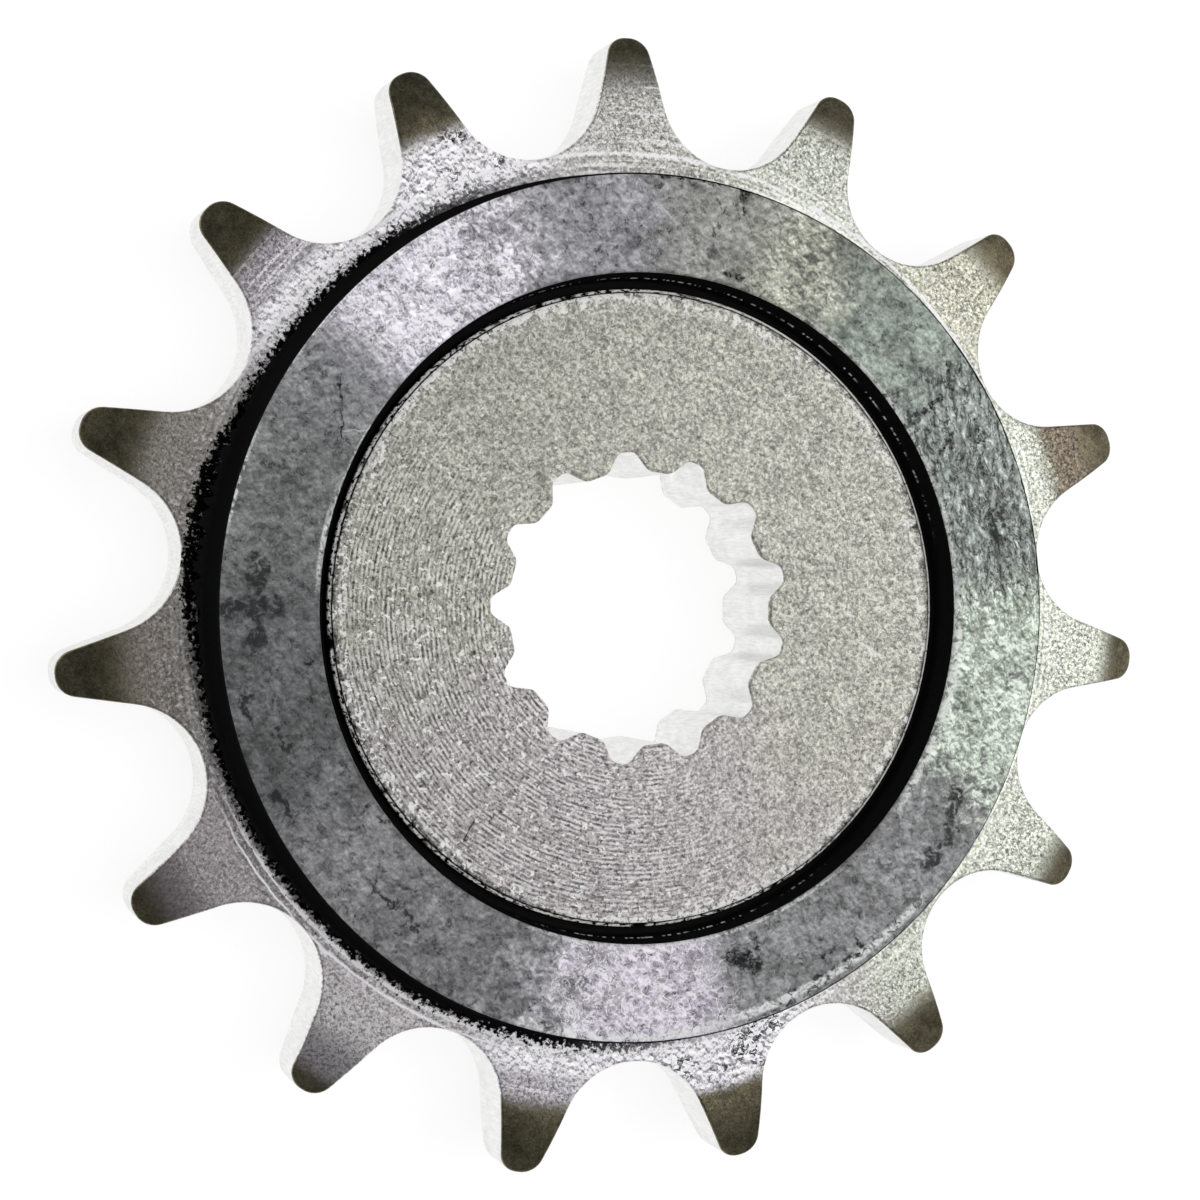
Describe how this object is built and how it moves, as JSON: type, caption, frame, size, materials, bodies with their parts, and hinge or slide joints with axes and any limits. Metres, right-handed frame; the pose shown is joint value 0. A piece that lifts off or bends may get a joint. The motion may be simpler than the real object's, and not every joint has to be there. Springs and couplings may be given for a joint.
{
  "type": "drive sprocket",
  "caption": "Flat steel chain sprocket with side-relieved teeth, a raised hub with a splined bore, and a bonded rubber cushion ring on each face for the chain's link plates.",
  "frame": {"origin": "on the bore axis, in the middle plane of the toothed plate", "axes": "+Z along the bore axis out of the front face; +Y through the middle of one tooth and of one spline groove"},
  "size_m": [0.083, 0.0824, 0.0138],
  "materials": {
    "steel": "blasted and face-turned",
    "rubber": "moulded, semi-gloss"
  },
  "bodies": {
    "root": {"sprocket_body": "steel", "front_damper_ring": "rubber", "rear_damper_ring": "rubber"}
  },
  "joints": []
}
